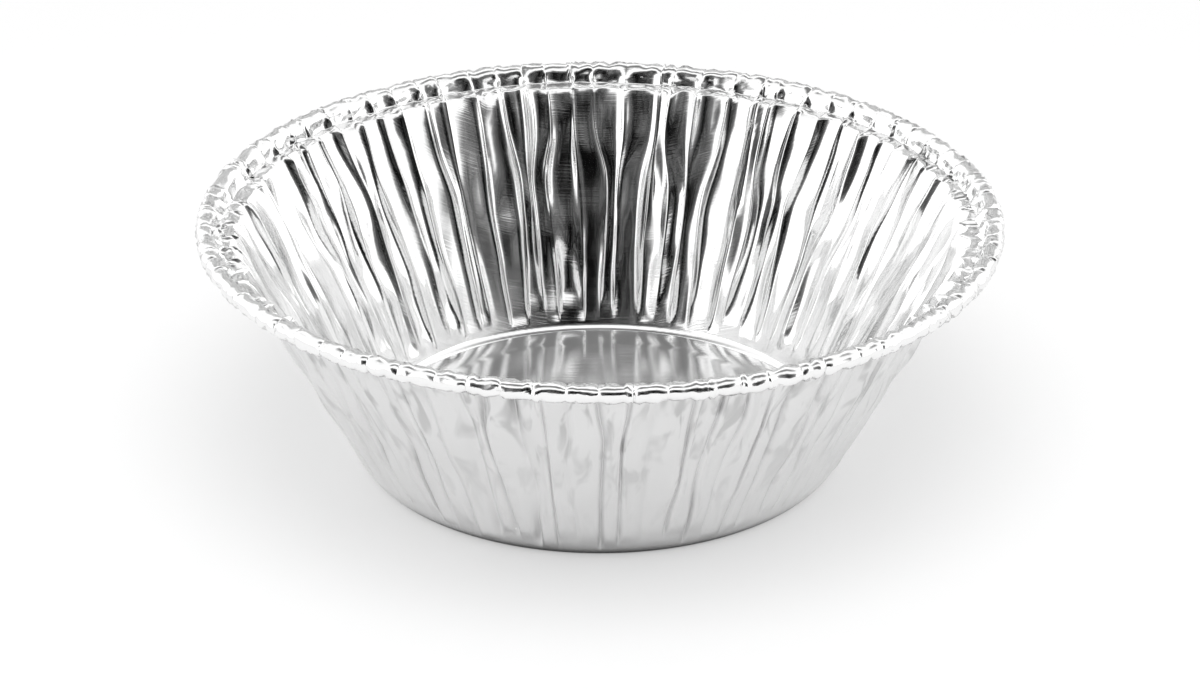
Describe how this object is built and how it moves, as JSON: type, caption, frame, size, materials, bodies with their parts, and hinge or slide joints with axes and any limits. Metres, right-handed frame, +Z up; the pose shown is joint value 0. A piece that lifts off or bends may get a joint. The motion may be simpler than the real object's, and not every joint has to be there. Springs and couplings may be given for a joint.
{
  "type": "foil bowl",
  "caption": "Round pressed foil bowl with a flat raised floor panel, a crinkled flared side wall, a ledge and a rolled rim.",
  "frame": {"origin": "centre of the ring that the bowl stands on, in the table's plane", "axes": "+Z up through the mouth; the bowl is round, and the picture looks along +Y"},
  "size_m": [0.0999, 0.0999, 0.0325],
  "materials": {
    "foil": "bright rolled foil, mirror-like with fine rolling lines"
  },
  "bodies": {
    "root": {"bowl": "foil"}
  },
  "joints": []
}
